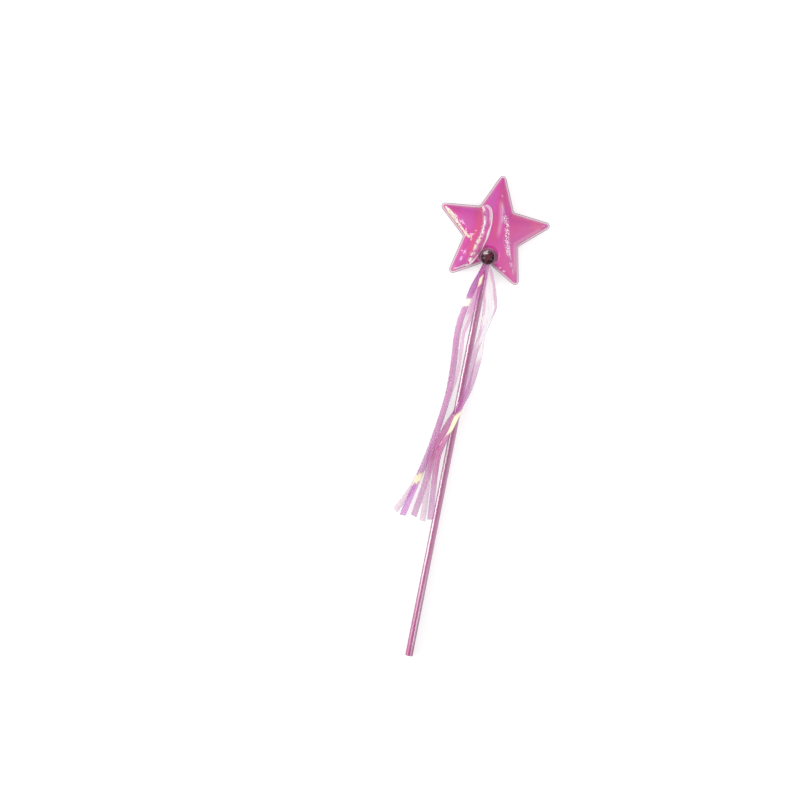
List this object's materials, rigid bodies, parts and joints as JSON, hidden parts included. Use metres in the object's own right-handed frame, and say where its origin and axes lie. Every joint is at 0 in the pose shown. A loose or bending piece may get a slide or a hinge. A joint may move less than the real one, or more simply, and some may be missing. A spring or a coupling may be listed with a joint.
{
  "type": "toy magic wand",
  "caption": "Toy magic wand: a puffed film star with a cut gem on a slim film-wrapped stick, and loose film streamers that swing from the gem's rivet.",
  "frame": {"origin": "on the surface that the wand lies on, under the middle of its length", "axes": "+Y along the stick towards the star, +Z out of the star's front, +X to the right seen from the front"},
  "size_m": [0.0724, 0.322, 0.0116],
  "materials": {
    "stick_plastic": "extruded tube, gloss",
    "wrap_film": "crinkled iridescent film",
    "star_film": "puffed iridescent film, welded edge",
    "padding": "soft fibre filling",
    "rivet_metal": "plated, bright",
    "gem_acrylic": "cut acrylic stone with a dark foil back",
    "streamer_film": "thin translucent iridescent film"
  },
  "bodies": {
    "wand": {"stick_tube": "stick_plastic", "stick_wrap": "wrap_film", "star_back_film": "star_film", "star_front_film": "star_film", "star_padding": "padding", "gem_rivet": "rivet_metal", "gem": "gem_acrylic", "rivet_cap": "rivet_metal"},
    "streamer_1": {"streamer_1": "streamer_film"},
    "streamer_2": {"streamer_2": "streamer_film"},
    "streamer_3": {"streamer_3": "streamer_film"},
    "streamer_4": {"streamer_4": "streamer_film"},
    "streamer_5": {"streamer_5": "streamer_film"}
  },
  "joints": [
    {"name": "streamer_1_swing", "type": "hinge", "parent": "wand", "child": "streamer_1", "pos_m": [0, 0.10592, 0.00658], "axis": [0, 0, 1], "range_deg": [-30, 0]},
    {"name": "streamer_2_swing", "type": "hinge", "parent": "wand", "child": "streamer_2", "pos_m": [0, 0.10592, 0.00686], "axis": [0, 0, 1], "range_deg": [-30, 0]},
    {"name": "streamer_3_swing", "type": "hinge", "parent": "wand", "child": "streamer_3", "pos_m": [0, 0.10592, 0.00714], "axis": [0, 0, 1], "range_deg": [-30, 0]},
    {"name": "streamer_4_swing", "type": "hinge", "parent": "wand", "child": "streamer_4", "pos_m": [0, 0.10592, 0.00742], "axis": [0, 0, 1], "range_deg": [0, 30]},
    {"name": "streamer_5_swing", "type": "hinge", "parent": "wand", "child": "streamer_5", "pos_m": [0, 0.10592, 0.0077], "axis": [0, 0, 1], "range_deg": [0, 30]}
  ]
}
